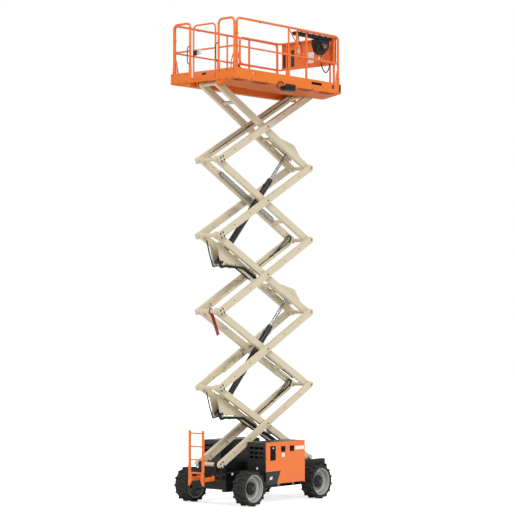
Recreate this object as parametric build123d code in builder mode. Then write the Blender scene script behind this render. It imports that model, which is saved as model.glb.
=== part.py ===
"""Rough-terrain scissor lift with its platform raised on five crossed stages.

Millimetres. +X points to the steered end, +Y to the far side, +Z up.
The origin is on the ground under the middle of the machine.
"""
from build123d import *
from math import asin, cos, radians, sin
import os

os.makedirs("parts", exist_ok=True)

# ---------------------------------------------------------------- scissor pack
stages = 5
arm_length = 3050.0          # pin to pin
arm_depth = 125.0
stage_rise = 1432.0          # height of one stage as the lift stands
base_pin_z = 760.0
left_pin_x = -1395.0
inner_arm_y = (155.0, 225.0)
outer_arm_y = (235.0, 305.0)
pin_radius = 38.0
pin_clearance = 0.05
pin_end_y = 313.0
cap_radius = 55.0
stub_start_y = 153.0
flange_radius, flange_thickness = 70.0, 10.0
cross_tube_radius = 35.0
roller_radius, roller_gap = 48.0, 0.3

rest_angle = asin(stage_rise / arm_length)
right_pin_x = left_pin_x + arm_length * cos(rest_angle)
top_pin_z = base_pin_z + stages * stage_rise
pin_bore = pin_radius + pin_clearance

# brackets for the two lift cylinders, measured along an arm and square to it
foot_along, foot_drop = 450.0, 325.0
head_along, head_rise = 445.0, 183.0
bracket_y = (85.0, 100.0)
eye_pin_radius = 25.0
spacer_length, spacer_depth = 110.0, 90.0

# cylinders
barrel_radius, bore_radius = 57.5, 42.5
barrel_length = 2250.0
rod_radius, rod_length = 32.5, 2190.0
rod_clearance = 0.3
eye_radius, eye_half_width = 50.0, 40.0
trunnion_half_length = 83.0
gland_length = 90.0

# cable trays
tray_y, tray_rise, tray_wall = (112.0, 147.0), (-20.0, 40.0), 3.0

# ---------------------------------------------------------------- chassis
rail_y, rail_z = (330.0, 425.0), (260.0, 615.0)
chassis_x = (-1420.0, 1640.0)
track_y = (240.0, 330.0)
track_x = (-100.0, 1700.0)
rear_axle_x, front_axle_x, axle_z = -1110.0, 914.0, 330.0
axle_half = 60.0
wheel_y = 725.0
tyre_radius, carcass_radius = 330.0, 306.0
tyre_half_width, shoulder_half_width, bead_half_width = 150.0, 135.0, 118.0
rim_radius, rim_wall, rim_half_width = 250.0, 12.0, 128.0
seat_gap = 0.3
lugs_per_row = 14
lug_top = tyre_radius
spindle_radius = 45.0
kingpin_y, kingpin_radius = 600.0, 20.0

# ---------------------------------------------------------------- side hoods
hood_x, hood_z, hood_y = (-695.0, 466.0), (360.0, 1155.0), 800.0
hood_upper_y, hood_lower_y, hood_step_z, hood_wall = 335.0, 455.0, rail_z[1], 12.0
panel_end_x, panel_foot_x, panel_top_z = -270.0, -390.0, 605.0
door_y, door_gap = (785.0, 800.0), 5.0
hood_edge_y, floor_edge_y = 780.0, 764.0
door_hinge_y, door_hinge_z, hinge_barrel_radius, hinge_pin_radius = 792.0, 362.0, 8.0, 4.0
hinge_knuckles = (-340.0, 400.0)

# ---------------------------------------------------------------- ladder
ladder_x, ladder_y, ladder_width = -1700.0, 75.0, 380.0
ladder_z, stringer_width = (370.0, 1400.0), 48.0
first_rung_z, rung_pitch, rung_radius = 610.0, 245.5, 14.0

# ---------------------------------------------------------------- platform
deck_x, deck_half_width = (-1606.0, 1610.0), 815.0
deck_z = (7990.0, 8000.0)
toe_z, toe_thickness = (7950.0, 8153.0), 12.0
beam_y, beam_bottom_z = (325.0, 400.0), 7880.0
guide_y, guide_x = (160.0, 228.0), (-60.0, 1700.0)
tube_radius, thin_tube_radius = 22.0, 17.0
rail_height, gate_top_drop = 1090.0, 60.0
gate_height = rail_height - gate_top_drop
rail_top_z, rail_mid_z = deck_z[1] + rail_height, deck_z[1] + 0.514 * rail_height
corner_radius = 90.0
gate_x, gate_y = deck_x[0] + toe_thickness + tube_radius + 0.3, (-292.0, 260.0)
gate_hinge_y, gate_pin_radius = -327.0, 7.0
extension_x, extension_z = (300.0, 1605.0), (8005.0, 8015.0)
extension_half_width, extension_rail_y = deck_half_width - 65, deck_half_width - 85


# ---------------------------------------------------------------- helpers
def save(piece, name):
    piece.part.label = name
    export_step(piece.part, f"parts/{name}.step")


def block(x, y, z, mode=Mode.ADD):
    """A box that spans three (low, high) ranges."""
    with Locations(((x[0] + x[1]) / 2, (y[0] + y[1]) / 2, (z[0] + z[1]) / 2)):
        Box(abs(x[1] - x[0]), abs(y[1] - y[0]), abs(z[1] - z[0]), mode=mode)


def mirror_block(x, y, z, mode=Mode.ADD):
    """The same box on both sides of the machine."""
    for side in (-1, 1):
        block(x, (side * y[0], side * y[1]), z, mode=mode)


def bar(start, end, radius, mode=Mode.ADD):
    """A round bar between two points."""
    axis = Vector(*end) - Vector(*start)
    with BuildSketch(Plane(origin=start, z_dir=axis)) as section:
        Circle(radius)
    extrude(section.sketch, amount=axis.length, mode=mode)


def plate(plane, outline, thickness, mode=Mode.ADD):
    """A flat plate with a straight-edged outline, thickened along the plane's normal."""
    with BuildSketch(plane) as section:
        Polygon(*outline, align=None)
    extrude(section.sketch, amount=thickness, mode=mode)


def bent_tube(points, corner, radius):
    """A round tube of straight runs joined by arcs."""
    with BuildLine() as route:
        FilletPolyline(*points, radius=corner)
    with BuildSketch(Plane(origin=points[0], z_dir=Vector(*points[1]) - Vector(*points[0]))) as section:
        Circle(radius)
    sweep(section.sketch, path=route.wires()[0])


def arm_plane(stage, slope):
    """Plane at an arm's rear pin: x along the arm, y square to it and up, z towards the near side."""
    pin_z = base_pin_z + (stage - (1 if slope > 0 else 0)) * stage_rise
    return Plane(origin=(left_pin_x, 0, pin_z), x_dir=(cos(rest_angle), 0, slope * sin(rest_angle)),
                 z_dir=(0, -1, 0))


def disc(plane, at, low, high, radius, mode=Mode.ADD):
    """A round bar across the machine between two distances from its middle."""
    with BuildSketch(plane.offset(low)) as section:
        with Locations(at):
            Circle(radius)
    extrude(section.sketch, amount=high - low, mode=mode)


def discs(plane, at, low, high, radius, mode=Mode.ADD):
    """The same disc on both sides of the machine."""
    disc(plane, at, low, high, radius, mode)
    disc(plane, at, -high, -low, radius, mode)


def arm_pair(plane, y):
    """Two arms with round ends, one on each side."""
    for low in (y[0], -y[1]):
        with BuildSketch(plane.offset(low)) as section:
            with Locations((arm_length / 2, 0)):
                SlotCenterToCenter(arm_length, arm_depth)
        extrude(section.sketch, amount=y[1] - y[0])


# ---------------------------------------------------------------- outer arms, rising to the front
rear_pin, centre_pin, front_pin = (0, 0), (arm_length / 2, 0), (arm_length, 0)
for stage in range(1, stages + 1):
    plane = arm_plane(stage, 1)
    with BuildPart() as outer_arms:
        arm_pair(plane, outer_arm_y)
        for pin in (rear_pin, front_pin):
            disc(plane, pin, -pin_end_y, pin_end_y, pin_radius)
        discs(plane, centre_pin, stub_start_y, pin_end_y, pin_radius)
        for pin in (rear_pin, centre_pin, front_pin):
            discs(plane, pin, outer_arm_y[1], pin_end_y, cap_radius)
        if stage == stages:
            discs(plane, front_pin, 165, 220, roller_radius)
    save(outer_arms, f"outer_arms_{stage}")

# ---------------------------------------------------------------- inner arms, falling to the front
# cross tubes of each stage, as shares of the arm's length
cross_tubes = ((0.64,), (0.76,), (0.64,), (0.76,), (0.64, 0.21))
foot_eye = (foot_along, -foot_drop)
head_eye = (arm_length - head_along, head_rise)
for stage in range(1, stages + 1):
    plane = arm_plane(stage, -1)
    with BuildPart() as inner_frame:
        arm_pair(plane, inner_arm_y)
        for share in cross_tubes[stage - 1]:
            disc(plane, (share * arm_length, 0), -inner_arm_y[0], inner_arm_y[0], cross_tube_radius)
        if stage < stages:
            discs(plane, rear_pin, inner_arm_y[0] - flange_thickness, inner_arm_y[0], flange_radius)
        if stage in (1, 3):
            with BuildSketch(plane.offset(bracket_y[0])) as foot_plate:
                Polygon((157, -93), (foot_along - 70, -foot_drop), (foot_along, -foot_drop - 68),
                        (foot_along + 80, -foot_drop + 10), (1000, -105), (1450, -109), (1450, -50), (150, -50),
                        align=None)
                with Locations(foot_eye):
                    Circle(72)
                    Circle(eye_pin_radius, mode=Mode.SUBTRACT)
            extrude(foot_plate.sketch, amount=bracket_y[1] - bracket_y[0])
            extrude(foot_plate.sketch.moved(Location((0, bracket_y[0] + bracket_y[1], 0))),
                    amount=bracket_y[1] - bracket_y[0])
            for along in (260, 740):
                for low in (bracket_y[1], -inner_arm_y[0]):
                    with BuildSketch(plane.offset(low)) as spacer:
                        with Locations((along, -10)):
                            Rectangle(spacer_length, spacer_depth)
                    extrude(spacer.sketch, amount=inner_arm_y[0] - bracket_y[1])
        if stage in (3, 5):
            with BuildSketch(plane.offset(bracket_y[0])) as head_plate:
                Polygon((arm_length - 1020, 50), (arm_length - 1020, 110), (arm_length - 510, 250),
                        (arm_length - 430, 250), (arm_length - 200, 150), (arm_length - 200, 50), align=None)
                with Locations(head_eye):
                    Circle(70)
            extrude(head_plate.sketch, amount=bracket_y[1] - bracket_y[0])
            extrude(head_plate.sketch.moved(Location((0, bracket_y[0] + bracket_y[1], 0))),
                    amount=bracket_y[1] - bracket_y[0])
            disc(plane, head_eye, -bracket_y[1] - 6, bracket_y[1] + 6, eye_pin_radius)
            discs(plane, head_eye, bracket_y[1], bracket_y[1] + 6, 40)
            for along in (arm_length - 780, arm_length - 300):
                for low in (bracket_y[1], -inner_arm_y[0]):
                    with BuildSketch(plane.offset(low)) as spacer:
                        with Locations((along, 15)):
                            Rectangle(spacer_length, spacer_depth)
                    extrude(spacer.sketch, amount=inner_arm_y[0] - bracket_y[1])
        if stage == 1:
            disc(plane, front_pin, -300, 300, pin_radius)
            discs(plane, front_pin, track_y[0], 300, roller_radius)
        if stage == stages:
            disc(plane, rear_pin, -304, 304, pin_radius)
        discs(plane, centre_pin, inner_arm_y[0], inner_arm_y[1], pin_bore, mode=Mode.SUBTRACT)
        if stage < stages:
            discs(plane, rear_pin, inner_arm_y[0] - flange_thickness, inner_arm_y[1], pin_bore, mode=Mode.SUBTRACT)
        if stage > 1:
            discs(plane, front_pin, inner_arm_y[0], inner_arm_y[1], pin_bore, mode=Mode.SUBTRACT)
    save(inner_frame, f"inner_frame_{stage}")

# ---------------------------------------------------------------- cable trays on the far side
# stage, slope of the arm that carries it, start along that arm, distance left free at its front end
for stage, slope, start, left_free in (
    (1, 1, 150, 150),
    (2, 1, 620, 850),
    (3, 1, 150, 150),
    (4, -1, 500, (1 - cross_tubes[3][0]) * arm_length + cross_tube_radius + 23),
    (5, 1, 150, 200),
):
    plane = arm_plane(stage, slope)
    end = arm_length - left_free
    with BuildPart() as cable_tray:
        with BuildSketch(plane.offset(-tray_y[1])) as section:
            with Locations(((start + end) / 2, sum(tray_rise) / 2)):
                Rectangle(end - start, tray_rise[1] - tray_rise[0])
        extrude(section.sketch, amount=tray_y[1] - tray_y[0])
        with BuildSketch(plane.offset(tray_wall - tray_y[1])) as hollow:
            with Locations(((start + end) / 2, sum(tray_rise) / 2 + tray_wall)):
                Rectangle(end - start, tray_rise[1] - tray_rise[0])
        extrude(hollow.sketch, amount=tray_y[1] - tray_y[0] - 2 * tray_wall, mode=Mode.SUBTRACT)
        if slope > 0:
            disc(plane, centre_pin, -stub_start_y, -tray_y[1], 18)
        else:
            for along in (start + 200, end - 200):
                disc(plane, (along, 0), -inner_arm_y[0], -tray_y[1], 18)
    save(cable_tray, f"cable_tray_{stage}")

# ---------------------------------------------------------------- lift cylinders
for name, stage in (("lower", 1), ("upper", 3)):
    foot = arm_plane(stage, -1).from_local_coords((foot_eye[0], foot_eye[1], 0))
    head = arm_plane(stage + 2, -1).from_local_coords((head_eye[0], head_eye[1], 0))
    along = (head - foot).normalized()
    base = Plane(origin=foot, x_dir=(0, -1, 0), z_dir=along)
    across = Plane(origin=foot, x_dir=along, z_dir=(0, -1, 0))
    with BuildPart() as barrel:
        with BuildSketch(base.offset(eye_radius - 5)) as tube:
            Circle(barrel_radius)
        extrude(tube.sketch, amount=barrel_length - eye_radius + 5)
        with BuildSketch(base.offset(eye_radius + 70)) as bore:
            Circle(bore_radius)
        extrude(bore.sketch, amount=barrel_length - gland_length - eye_radius - 70, mode=Mode.SUBTRACT)
        with BuildSketch(base.offset(barrel_length - gland_length)) as gland:
            Circle(rod_radius + rod_clearance)
        extrude(gland.sketch, amount=gland_length, mode=Mode.SUBTRACT)
        disc(across, (0, 0), -eye_half_width, eye_half_width, eye_radius)
        disc(across, (0, 0), -trunnion_half_length, trunnion_half_length, eye_pin_radius)
    save(barrel, f"barrel_{name}")
    tip = Plane(origin=head, x_dir=(0, -1, 0), z_dir=along * -1)
    across = Plane(origin=head, x_dir=along, z_dir=(0, -1, 0))
    with BuildPart() as rod:
        with BuildSketch(tip.offset(eye_radius - 8)) as shank:
            Circle(rod_radius)
        extrude(shank.sketch, amount=rod_length - eye_radius + 8)
        with BuildSketch(tip.offset(rod_length - 40)) as piston:
            Circle(bore_radius - rod_clearance)
        extrude(piston.sketch, amount=40)
        disc(across, (0, 0), -eye_half_width, eye_half_width, eye_radius)
        disc(across, (0, 0), -eye_half_width, eye_half_width, eye_pin_radius + pin_clearance, mode=Mode.SUBTRACT)
    save(rod, f"rod_{name}")

# ---------------------------------------------------------------- safety prop hung from the second stage
prop_length, prop_depth, prop_y, prop_slope = 490.0, 75.0, (-36.0, -24.0), radians(-65)
prop_plane = Plane(origin=(left_pin_x, 0, base_pin_z + 2 * stage_rise), z_dir=(0, -1, 0),
                   x_dir=(cos(prop_slope), 0, sin(prop_slope)))
with BuildPart() as safety_prop:
    with BuildSketch(prop_plane.offset(-prop_y[1])) as outline:
        with Locations((prop_length / 2, 0)):
            Rectangle(prop_length, prop_depth)
        Circle(62)
        Circle(pin_bore, mode=Mode.SUBTRACT)
    extrude(outline.sketch, amount=prop_y[1] - prop_y[0])
save(safety_prop, "safety_prop")

# ---------------------------------------------------------------- wheels
wheels = (("rear_near", rear_axle_x, -1), ("rear_far", rear_axle_x, 1),
          ("front_near", front_axle_x, -1), ("front_far", front_axle_x, 1))
for name, x, side in wheels:
    centre = Vector(x, side * wheel_y, axle_z)
    profile = Plane(origin=centre, x_dir=(0, side, 0), z_dir=(side, 0, 0))
    spin = Axis(centre, (0, 1, 0))
    tread = Plane(origin=centre, x_dir=(1, 0, 0), z_dir=(0, side, 0))
    with BuildPart() as tyre:
        with BuildSketch(tread) as belt:
            RegularPolygon(carcass_radius, 2 * lugs_per_row)
        extrude(belt.sketch, amount=shoulder_half_width, both=True)
        for edge in (-1, 1):
            with BuildSketch(tread.offset(edge * shoulder_half_width)) as shoulder:
                RegularPolygon(carcass_radius, 2 * lugs_per_row)
            extrude(shoulder.sketch, amount=edge * (tyre_half_width - shoulder_half_width), taper=50)
        for row in (-1, 1):
            for step in range(lugs_per_row):
                turn = radians(360 / lugs_per_row * (step + (0.5 if row > 0 else 0)) - 90)
                out = Vector(cos(turn), 0, sin(turn))
                foot = Plane(origin=centre + out * (carcass_radius - 14), x_dir=(0, 1, 0), z_dir=out)
                with BuildSketch(foot) as lug:
                    Polygon((row * 6, -36), (row * 6, 0), (row * 138, 32), (row * 138, -8), align=None)
                extrude(lug.sketch, amount=lug_top - carcass_radius + 14)
        with BuildSketch(tread.offset(-tyre_half_width)) as bore:
            RegularPolygon(rim_radius + seat_gap, 2 * lugs_per_row, major_radius=False)
        extrude(bore.sketch, amount=2 * tyre_half_width, mode=Mode.SUBTRACT)
        for edge in (-1, 1):
            with BuildSketch(tread.offset(edge * tyre_half_width)) as bead:
                RegularPolygon(rim_radius + 18, 2 * lugs_per_row, major_radius=False)
            extrude(bead.sketch, amount=-edge * (tyre_half_width - bead_half_width), taper=15, mode=Mode.SUBTRACT)
    save(tyre, f"tyre_{name}")
    with BuildPart() as rim:
        with BuildSketch(profile) as section:
            Polygon((-rim_half_width, rim_radius - 12), (rim_half_width, rim_radius - 12),
                    (rim_half_width, rim_radius + 7), (bead_half_width + seat_gap, rim_radius + 7),
                    (bead_half_width + seat_gap, rim_radius), (-bead_half_width - seat_gap, rim_radius),
                    (-bead_half_width - seat_gap, rim_radius + 7),
                    (-rim_half_width, rim_radius + 7), align=None)
            Polygon((10, 100), (26, 100), (46, rim_radius - 10), (30, rim_radius - 10), align=None)
            Polygon((-30, spindle_radius + pin_clearance), (30, spindle_radius + pin_clearance), (30, 0), (100, 0),
                    (100, 62), (88, 76), (60, 118), (-30, 118), align=None)
        revolve(section.sketch, axis=spin)
    save(rim, f"rim_{name}")

# ---------------------------------------------------------------- axles and knuckles
spindle_end = wheel_y + 28
with BuildPart() as axle_rear:
    x = rear_axle_x
    block((x - axle_half, x + axle_half), (-560, 560), (axle_z - axle_half, axle_z + axle_half))
    bar((x, -spindle_end, axle_z), (x, spindle_end, axle_z), spindle_radius)
    for side in (-1, 1):
        bar((x, side * 550, axle_z), (x, side * 690, axle_z), 85)
save(axle_rear, "axle_rear")

with BuildPart() as axle_front:
    x = front_axle_x
    block((x - axle_half, x + axle_half), (-500, 500), (axle_z - axle_half, axle_z + axle_half))
    block((x - 38, x + 38), (-kingpin_y, kingpin_y), (axle_z - 55, axle_z + 55))
    for side in (-1, 1):
        bar((x, side * kingpin_y, axle_z - 55), (x, side * kingpin_y, axle_z + 55), 38)
        bar((x, side * kingpin_y, axle_z - 55), (x, side * kingpin_y, axle_z + 55), kingpin_radius + pin_clearance,
            mode=Mode.SUBTRACT)
save(axle_front, "axle_front")

for name, side in (("near", -1), ("far", 1)):
    x, y = front_axle_x, side * kingpin_y
    with BuildPart() as knuckle:
        for low in (-75, 60):
            with BuildSketch(Plane((x, y, axle_z + low))) as ear:
                Circle(38)
                with Locations((0, side * 60)):
                    Rectangle(90, 20)
                make_hull()
            extrude(ear.sketch, amount=15)
        block((x - 45, x + 45), (side * 650, side * 670), (axle_z - 75, axle_z + 75))
        bar((x, side * 660, axle_z), (x, side * 690, axle_z), 70)
        bar((x, side * 660, axle_z), (x, side * spindle_end, axle_z), spindle_radius)
        bar((x, y, axle_z - 80), (x, y, axle_z + 80), kingpin_radius)
    save(knuckle, f"knuckle_{name}")

# ---------------------------------------------------------------- chassis frame
track_top_z = base_pin_z - roller_radius - roller_gap
tie_down_z, tie_down_radius, tie_down_hole = 520.0, 40.0, 16.0
with BuildPart() as chassis_frame:
    mirror_block(chassis_x, rail_y, rail_z)
    for x in (rear_axle_x, front_axle_x):
        mirror_block((x - 75, x + 75), (rail_y[0] - 5, rail_y[1] + 5), (rail_z[0] - 5, axle_z + axle_half),
                     mode=Mode.SUBTRACT)
    mirror_block((chassis_x[0] + 10, -160), (rail_y[0] + 12, rail_y[1] + 5), (axle_z + axle_half + 12, 600),
                 mode=Mode.SUBTRACT)
    mirror_block((480, chassis_x[1] - 10), (rail_y[0] + 12, rail_y[1] + 5), (axle_z + axle_half + 12, 600),
                 mode=Mode.SUBTRACT)
    # beams that the lower rollers run on
    mirror_block(track_x, track_y, (615, track_top_z))
    mirror_block((track_x[0], track_x[1]), (track_y[0], track_y[1]), (590, 616))
    mirror_block((track_x[0], track_x[1]), (track_y[1] - 12, track_y[1] + 1), (560, 616))
    # cross members: x range, z range
    for x, z in (((-1420, -1300), (430, 680)), ((-100, 60), (260, 420)), ((1500, 1640), (260, 640)),
                 ((-1420, -1320), (300, 440))):
        block(x, (-rail_y[0] - 5, rail_y[0] + 5), z)
    # lugs that hold the first stage's rear pin
    for low in (165, -220):
        with BuildSketch(Plane.XZ.offset(low)) as lug:
            with Locations((left_pin_x, base_pin_z)):
                Circle(68)
            with Locations((left_pin_x + 15, base_pin_z - 100)):
                Rectangle(140, 80)
            make_hull()
            with Locations((left_pin_x, base_pin_z)):
                Circle(pin_bore, mode=Mode.SUBTRACT)
        extrude(lug.sketch, amount=55)
    # tie-down lugs at the four corners
    for x, lean in ((chassis_x[0] - 20, 1), (chassis_x[1] + 20, -1)):
        for side in (-1, 1):
            with BuildSketch(Plane((0, side * 365, 0), x_dir=(1, 0, 0), z_dir=(0, -1, 0))) as eye:
                with Locations((x, tie_down_z)):
                    Circle(tie_down_radius)
                with Locations((x + lean * 30, tie_down_z)):
                    Rectangle(60, 2 * tie_down_radius)
                with Locations((x, tie_down_z)):
                    Circle(tie_down_hole, mode=Mode.SUBTRACT)
            extrude(eye.sketch, amount=20)
save(chassis_frame, "chassis_frame")

# ---------------------------------------------------------------- side hoods, doors and what they cover
corner_panel = ((hood_x[0], hood_z[0]), (panel_foot_x, hood_z[0]), (panel_end_x, panel_top_z), (hood_x[0], panel_top_z))
with BuildPart() as hoods:
    for side in (-1, 1):
        block(hood_x, (side * hood_upper_y, side * hood_edge_y), (hood_step_z, hood_z[1]))
        block(hood_x, (side * hood_lower_y, side * hood_edge_y), hood_z)
        inside_x = (hood_x[0] + hood_wall, hood_x[1] - hood_wall)
        block(inside_x, (side * (hood_upper_y + hood_wall), side * (hood_edge_y + 5)),
              (hood_step_z + hood_wall, hood_z[1] - hood_wall), mode=Mode.SUBTRACT)
        block(inside_x, (side * (hood_lower_y + hood_wall), side * (hood_edge_y + 5)),
              (hood_z[0] + hood_wall, hood_z[1] - hood_wall), mode=Mode.SUBTRACT)
        block(inside_x, (side * floor_edge_y, side * (hood_edge_y + 5)), (hood_z[0] - 5, hood_z[0] + hood_wall + 5),
              mode=Mode.SUBTRACT)
        panel = Plane(origin=(0, side * (door_y[1] - 3), 0), x_dir=(1, 0, 0), z_dir=(0, -1, 0))
        plate(panel, corner_panel, side * (door_y[1] - 3 - hood_edge_y + 4))
        for x in hinge_knuckles:
            block((x, x + 30), (side * (floor_edge_y - 2), side * door_hinge_y), (hood_z[0], door_hinge_z + 4))
            bar((x, side * door_hinge_y, door_hinge_z), (x + 30, side * door_hinge_y, door_hinge_z),
                hinge_barrel_radius)
            bar((x - 1, side * door_hinge_y, door_hinge_z), (x + 31, side * door_hinge_y, door_hinge_z),
                hinge_pin_radius + pin_clearance, mode=Mode.SUBTRACT)
        for z in (876, 958, 1047):
            for y in (442, 566, 683):
                block((hood_x[0] - 5, hood_x[0] + hood_wall + 5), (side * (y - 50), side * (y + 50)),
                      (z - 20, z + 20), mode=Mode.SUBTRACT)
save(hoods, "hoods")

for name, side in (("near", -1), ("far", 1)):
    with BuildPart() as door:
        low = door_hinge_z + 10
        face = Plane(origin=(0, side * door_y[1], 0), x_dir=(1, 0, 0), z_dir=(0, -1, 0))
        plate(face, [(panel_foot_x + 12, low), (hood_x[1], low), (hood_x[1], hood_z[1]), (hood_x[0], hood_z[1]),
                     (hood_x[0], panel_top_z + door_gap), (panel_end_x + 8, panel_top_z + door_gap)],
              side * (door_y[1] - door_y[0]))
        for x in hinge_knuckles:
            bar((x + 30 + seat_gap, side * door_hinge_y, door_hinge_z), (x + 60, side * door_hinge_y, door_hinge_z),
                hinge_barrel_radius)
            block((x + 30 + seat_gap, x + 60), (side * door_y[0], side * door_y[1]), (door_hinge_z, low + 5))
            bar((x + 2, side * door_hinge_y, door_hinge_z), (x + 55, side * door_hinge_y, door_hinge_z),
                hinge_pin_radius)
    save(door, f"door_{name}")

with BuildPart() as power_unit:
    block((-560, 330), (-740, -470), (hood_z[0] + hood_wall, 1020))
save(power_unit, "power_unit")

with BuildPart() as tank:
    block((-560, 330), (470, 740), (hood_z[0] + hood_wall, 1020))
save(tank, "tank")

# ---------------------------------------------------------------- ladder
with BuildPart() as ladder:
    for side in (-1, 1):
        y = ladder_y + side * ladder_width / 2
        stringer = Plane(origin=(ladder_x, 0, 0), x_dir=(0, 1, 0), z_dir=(1, 0, 0))
        inner = -side * stringer_width
        plate(stringer, [(y, ladder_z[1]), (y + inner, ladder_z[1]), (y + inner, 640), (y + 1.6 * inner, 560),
                         (y + 1.6 * inner, 470), (y + 0.6 * inner, ladder_z[0]), (y, ladder_z[0])], 30)
        block((ladder_x + 20, chassis_x[0]), (y, y - side * 12), (450, 530))
    for rung in range(4):
        z = first_rung_z + rung * rung_pitch
        block((ladder_x, ladder_x + 30), (ladder_y - ladder_width / 2 + 5, ladder_y + ladder_width / 2 - 5),
              (z - rung_radius, z + rung_radius))
save(ladder, "ladder")

# ---------------------------------------------------------------- platform deck
with BuildPart() as platform_deck:
    block(deck_x, (-deck_half_width, deck_half_width), deck_z)
    mirror_block(deck_x, (deck_half_width - toe_thickness, deck_half_width), toe_z)
    mirror_block((deck_x[0], deck_x[0] + toe_thickness), (340, deck_half_width), toe_z)
    block((deck_x[0], deck_x[0] + toe_thickness), (-deck_half_width, deck_half_width), (toe_z[0], deck_z[1]))
    # sub-frame beams, roller guides and the lugs of the rear pin
    mirror_block((deck_x[0] + 12, 1605), beam_y, (beam_bottom_z, deck_z[0]))
    guide_z = top_pin_z + roller_radius + roller_gap
    mirror_block(guide_x, guide_y, (guide_z, deck_z[0]))
    for low in (240, -300):
        with BuildSketch(Plane.XZ.offset(low)) as lug:
            with Locations((left_pin_x, top_pin_z)):
                Circle(62)
            with Locations((left_pin_x, deck_z[0] - 5)):
                Rectangle(150, 12)
            make_hull()
            with Locations((left_pin_x, top_pin_z)):
                Circle(pin_bore, mode=Mode.SUBTRACT)
        extrude(lug.sketch, amount=60)
    # sloping underside panels and their ribs
    for side in (-1, 1):
        edge = deck_half_width - toe_thickness
        section = ((beam_y[1], beam_bottom_z), (edge + 2, toe_z[0]), (edge + 2, toe_z[0] + 6),
                   (beam_y[1], beam_bottom_z + 6))
        wing = Plane(origin=(deck_x[0] + 2, 0, 0), x_dir=(0, side, 0), z_dir=(side, 0, 0))
        plate(wing, section, side * (deck_x[1] - deck_x[0] - 7))
        for rib in range(7):
            x = deck_x[0] + 12 + rib * 531
            ribs = ((beam_y[1] - 1, beam_bottom_z), (edge + 2, toe_z[0]), (edge + 2, deck_z[0]),
                    (beam_y[1] - 1, deck_z[0]))
            plate(Plane(origin=(x, 0, 0), x_dir=(0, side, 0), z_dir=(side, 0, 0)), ribs, side * 8)
save(platform_deck, "platform_deck")

# ---------------------------------------------------------------- guard rails
rail_post_x = (-1525.0, 1560.0)
hinge_heights = (deck_z[1] + 0.275 * rail_height, deck_z[1] + 0.752 * rail_height)
fixed_rail_y = deck_half_width - toe_thickness - tube_radius - seat_gap
with BuildPart() as platform_rails:
    for side in (-1, 1):
        y = side * fixed_rail_y
        bent_tube([(rail_post_x[0], y, deck_z[1]), (rail_post_x[0], y, rail_top_z), (rail_post_x[1], y, rail_top_z),
                   (rail_post_x[1], y, deck_z[1])], corner_radius, tube_radius)
        bar((rail_post_x[0], y, rail_mid_z), (rail_post_x[1], y, rail_mid_z), thin_tube_radius)
        bar((0, y, deck_z[1]), (0, y, rail_top_z), thin_tube_radius)
    for inner, outer in ((-372, 20 - fixed_rail_y), (346, fixed_rail_y - 20)):
        bent_tube([(gate_x, inner, deck_z[1]), (gate_x, inner, rail_top_z), (gate_x, outer, rail_top_z),
                   (gate_x, outer, deck_z[1])], corner_radius, tube_radius)
        bar((gate_x, inner, rail_mid_z), (gate_x, outer, rail_mid_z), thin_tube_radius)
    for z in hinge_heights:
        block((gate_x - 8, gate_x + 8), (-372, gate_hinge_y + 7), (z - 10, z))
        bar((gate_x, gate_hinge_y, z - 10), (gate_x, gate_hinge_y, z + 30), gate_pin_radius)
save(platform_rails, "platform_rails")

with BuildPart() as gate:
    low, high = deck_z[1] + 20, deck_z[1] + gate_height
    bent_tube([(gate_x, gate_y[0], low), (gate_x, gate_y[0], high), (gate_x, gate_y[1], high),
               (gate_x, gate_y[1], low)], corner_radius, thin_tube_radius)
    bar((gate_x, gate_y[0], rail_mid_z), (gate_x, gate_y[1], rail_mid_z), thin_tube_radius)
    block((gate_x - 5, gate_x + 5), (gate_y[0] - 12, gate_y[1] + 12), (deck_z[1] + 6, toe_z[1]))
    for z in hinge_heights:
        block((gate_x - 10, gate_x + 10), (gate_hinge_y - 10, gate_y[0]), (z + seat_gap, z + 26))
        bar((gate_x, gate_hinge_y, z - 1), (gate_x, gate_hinge_y, z + 28), gate_pin_radius + pin_clearance,
            mode=Mode.SUBTRACT)
save(gate, "gate")

# ---------------------------------------------------------------- sliding extension
with BuildPart() as extension_deck:
    block((extension_x[0], deck_x[1] + 12), (-extension_half_width, extension_half_width), extension_z)
    block((deck_x[1] + seat_gap, deck_x[1] + 12), (18 - deck_half_width, deck_half_width - 18), (deck_z[0] + 5, toe_z[1]))
    for x in (extension_x[0] + 20, extension_x[0] + 600):
        mirror_block((x, x + 80), (extension_rail_y - 95, extension_rail_y + 5), (deck_z[1] + seat_gap, extension_z[0] + 1))
save(extension_deck, "extension_deck")

front_x = 1585.0
extension_post_x, overlap_x = (610.0, 1490.0), 320.0
with BuildPart() as extension_rails:
    y = extension_rail_y
    bent_tube([(extension_post_x[0] + 10, -y, rail_mid_z), (overlap_x, -y, rail_mid_z), (overlap_x, -y, rail_top_z),
               (front_x, -y, rail_top_z), (front_x, y, rail_top_z), (overlap_x, y, rail_top_z),
               (overlap_x, y, rail_mid_z), (extension_post_x[0] + 10, y, rail_mid_z)],
              corner_radius, tube_radius)
    for side in (-1, 1):
        bar((extension_post_x[0], side * y, rail_mid_z), (front_x, side * y, rail_mid_z), thin_tube_radius)
        for x in extension_post_x:
            bar((x, side * y, extension_z[1]), (x, side * y, rail_top_z), tube_radius)
        bar((front_x, side * 560, extension_z[1]), (front_x, side * 560, rail_top_z), thin_tube_radius)
    bar((front_x, -y, rail_mid_z), (front_x, y, rail_mid_z), thin_tube_radius)
save(extension_rails, "extension_rails")

panel_x = front_x + tube_radius + seat_gap
with BuildPart() as front_panel:
    block((panel_x, panel_x + 4), (30 - extension_rail_y, extension_rail_y - 30), (rail_mid_z, rail_top_z + 20))
save(front_panel, "front_panel")

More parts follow.
